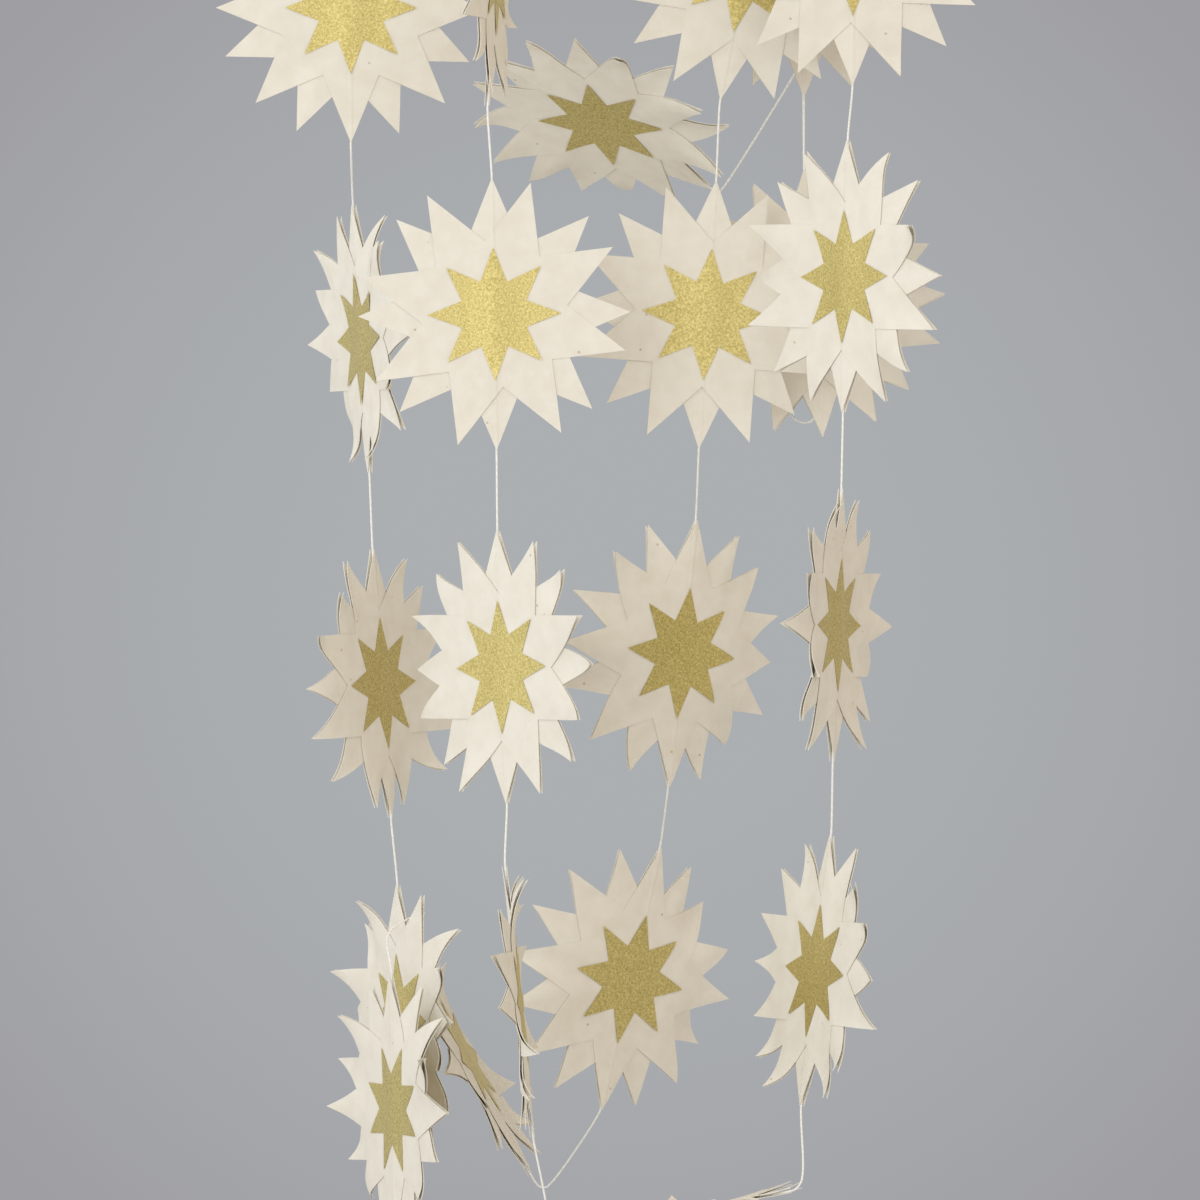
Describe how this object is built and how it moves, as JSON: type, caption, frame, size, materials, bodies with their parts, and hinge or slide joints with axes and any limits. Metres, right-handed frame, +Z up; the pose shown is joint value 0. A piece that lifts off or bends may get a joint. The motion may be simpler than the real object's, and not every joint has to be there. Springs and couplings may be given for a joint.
{
  "type": "paper star garland",
  "caption": "Hanging garland of layered eight-pointed cream paper stars with small gold stars, strung on one long white cotton thread and hung in swags.",
  "frame": {"origin": "middle of the level line on which the two end loops and the three top bends of the thread hang", "axes": "+Z up, X to the right as seen from the front, Y away from the front"},
  "size_m": [0.3704, 0.2659, 0.73],
  "materials": {
    "cream_paper": "matte handmade paper",
    "gold_paper": "satin gold foiled paper",
    "cotton": "matte twisted cotton thread"
  },
  "bodies": {
    "root": {"cream_star_01": "cream_paper", "cream_star_02": "cream_paper", "cream_star_03": "cream_paper", "cream_star_04": "cream_paper", "cream_star_05": "cream_paper", "cream_star_06": "cream_paper", "cream_star_07": "cream_paper", "cream_star_08": "cream_paper", "cream_star_09": "cream_paper", "cream_star_10": "cream_paper", "cream_star_11": "cream_paper", "cream_star_12": "cream_paper", "cream_star_13": "cream_paper", "cream_star_14": "cream_paper", "cream_star_15": "cream_paper", "cream_star_16": "cream_paper", "cream_star_17": "cream_paper", "cream_star_18": "cream_paper", "cream_star_19": "cream_paper", "cream_star_20": "cream_paper", "cream_star_21": "cream_paper", "cream_star_22": "cream_paper", "cream_star_23": "cream_paper", "gold_star_01": "gold_paper", "gold_star_02": "gold_paper", "gold_star_03": "gold_paper", "gold_star_04": "gold_paper", "gold_star_05": "gold_paper", "gold_star_06": "gold_paper", "gold_star_07": "gold_paper", "gold_star_08": "gold_paper", "gold_star_09": "gold_paper", "gold_star_10": "gold_paper", "gold_star_11": "gold_paper", "gold_star_12": "gold_paper", "gold_star_13": "gold_paper", "gold_star_14": "gold_paper", "gold_star_15": "gold_paper", "gold_star_16": "gold_paper", "gold_star_17": "gold_paper", "gold_star_18": "gold_paper", "gold_star_19": "gold_paper", "gold_star_20": "gold_paper", "gold_star_21": "gold_paper", "gold_star_22": "gold_paper", "gold_star_23": "gold_paper", "thread": "cotton", "end_loop_left": "cotton", "end_loop_right": "cotton"}
  },
  "joints": []
}
